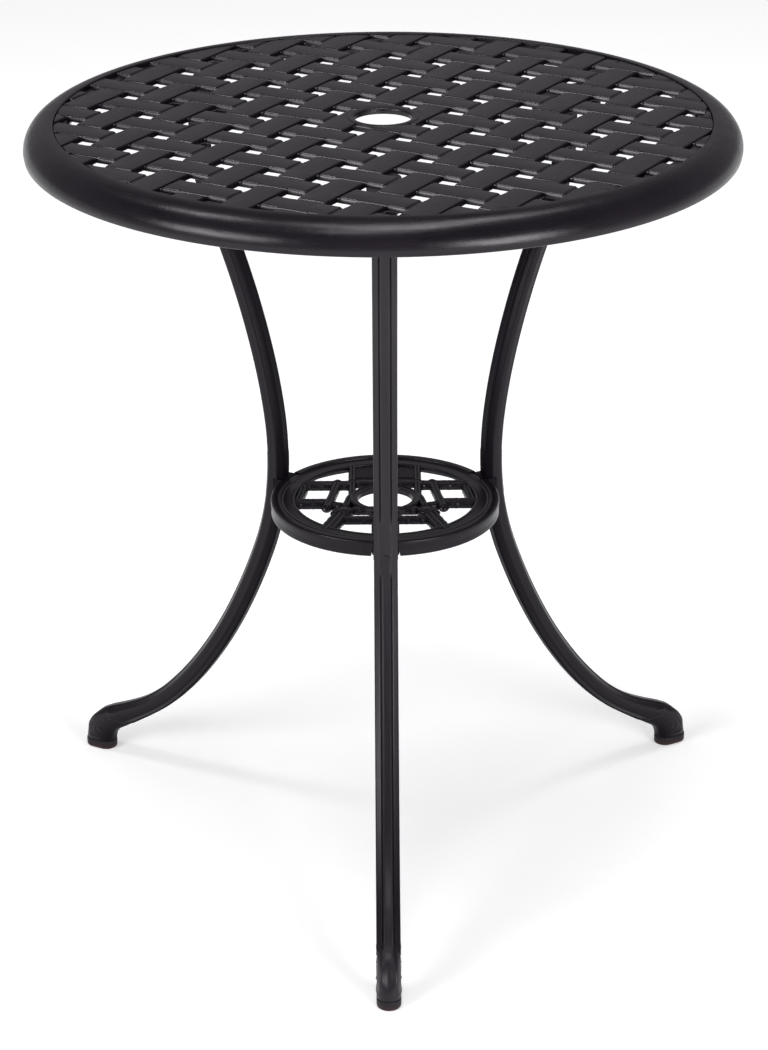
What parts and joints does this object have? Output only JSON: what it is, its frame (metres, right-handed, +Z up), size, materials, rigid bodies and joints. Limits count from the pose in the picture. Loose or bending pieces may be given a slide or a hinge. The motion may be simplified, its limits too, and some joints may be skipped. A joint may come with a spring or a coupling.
{
  "type": "umbrella table",
  "caption": "Round outdoor bistro table with a pierced basket-weave top, central umbrella hole, three cabriole legs and a pierced brace ring that guides the pole.",
  "frame": {"origin": "centre of the umbrella hole, level with the top of the weave", "axes": "+Z up along the umbrella pole; the front leg points along -Y, the other two legs at 30 and 150 degrees"},
  "size_m": [0.5999, 0.63, 0.666],
  "materials": {
    "cast_black": "satin powder coat over sand-cast aluminium",
    "bolt_steel": "zinc plated",
    "bolt_black": "black oxide",
    "glide_plastic": "moulded, matte"
  },
  "bodies": {
    "root": {"tabletop_rim": "cast_black", "tabletop_weave": "cast_black", "brace_ring": "cast_black", "leg_front": "cast_black", "glide_front": "glide_plastic", "top_bolts_front": "bolt_steel", "top_washers_front": "bolt_steel", "ring_bolt_front": "bolt_black", "ring_washer_front": "bolt_steel", "ring_nut_front": "bolt_steel", "leg_right": "cast_black", "glide_right": "glide_plastic", "top_bolts_right": "bolt_steel", "top_washers_right": "bolt_steel", "ring_bolt_right": "bolt_black", "ring_washer_right": "bolt_steel", "ring_nut_right": "bolt_steel", "leg_left": "cast_black", "glide_left": "glide_plastic", "top_bolts_left": "bolt_steel", "top_washers_left": "bolt_steel", "ring_bolt_left": "bolt_black", "ring_washer_left": "bolt_steel", "ring_nut_left": "bolt_steel"}
  },
  "joints": []
}
